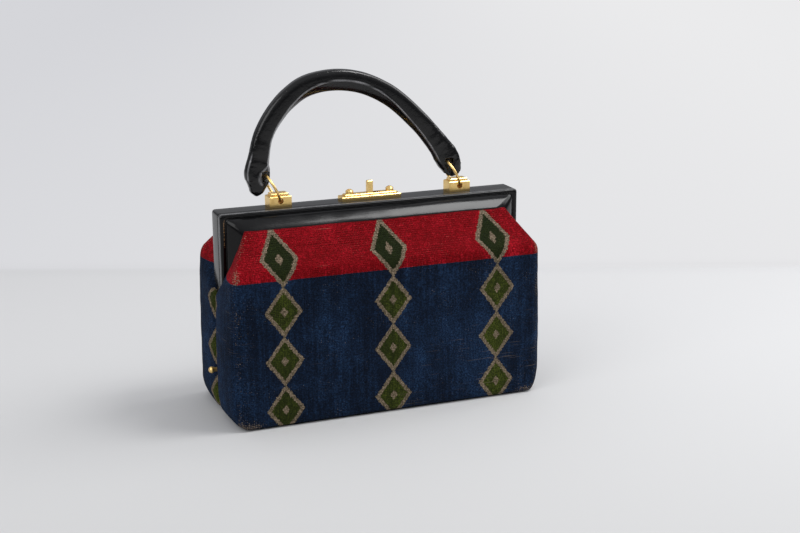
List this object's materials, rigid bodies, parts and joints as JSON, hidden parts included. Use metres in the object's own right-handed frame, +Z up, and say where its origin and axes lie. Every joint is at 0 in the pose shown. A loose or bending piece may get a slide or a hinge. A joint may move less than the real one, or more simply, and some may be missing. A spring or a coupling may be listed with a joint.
{
  "type": "frame handbag",
  "caption": "Boxy top-handle evening handbag in patterned velvet on a hinged black leather frame, with brass posts, rings and sliding lock.",
  "frame": {"origin": "on the ground, under the middle of the bag's base", "axes": "+Z up, +X to the right as seen from the front, +Y to the rear"},
  "size_m": [0.2568, 0.0984, 0.2513],
  "materials": {
    "velvet": "cut velvet in navy, crimson, olive and beige",
    "board": "plain fibreboard",
    "lining": "smooth tan leather",
    "leather": "glossy black calf",
    "steel": "plain steel",
    "brass": "polished, softly worn",
    "core": "firm filler"
  },
  "bodies": {
    "bag": {"rear_velvet": "velvet", "rear_board": "board", "rear_lining": "lining", "base_panel": "leather", "rear_frame_bar": "steel", "rear_frame_leather": "leather", "left_hinge_rivet": "brass", "right_hinge_rivet": "brass", "left_gusset": "leather", "right_gusset": "leather", "left_ring_post": "brass", "right_ring_post": "brass", "post_screws": "steel", "lock_plate": "brass", "lock_studs": "brass"},
    "front_half": {"front_velvet": "velvet", "front_board": "board", "front_lining": "lining", "front_frame_bar": "steel", "front_frame_leather": "leather", "front_catch": "steel"},
    "lock": {"lock_slider": "brass"},
    "ring_left": {"left_ring": "brass"},
    "ring_right": {"right_ring": "brass"},
    "handle": {"left_handle_pin": "steel", "right_handle_pin": "steel", "handle_core": "core", "handle_leather": "leather"}
  },
  "joints": [
    {"name": "front_frame_hinge", "type": "hinge", "parent": "bag", "child": "front_half", "pos_m": [0, 0, 0.034], "axis": [1, 0, 0], "range_deg": [0, 40], "deforming": ["front_velvet", "front_board", "front_lining", "left_gusset", "right_gusset"]},
    {"name": "lock_slide", "type": "slide", "parent": "bag", "child": "lock", "axis": [1, 0, 0], "range_m": [0, 0.006]},
    {"name": "handle_swing", "type": "hinge", "parent": "bag", "child": "handle", "pos_m": [0, 0.004, 0.16729], "axis": [1, 0, 0], "range_deg": [-80, 80]},
    {"name": "left_ring_turn", "type": "hinge", "parent": "bag", "child": "ring_left", "pos_m": [-0.07474, 0.004, 0.16729], "axis": [0.891, 0, 0.454], "continuous": true},
    {"name": "right_ring_turn", "type": "hinge", "parent": "bag", "child": "ring_right", "pos_m": [0.06886, 0.004, 0.16729], "axis": [0.891, 0, 0.454], "continuous": true}
  ]
}
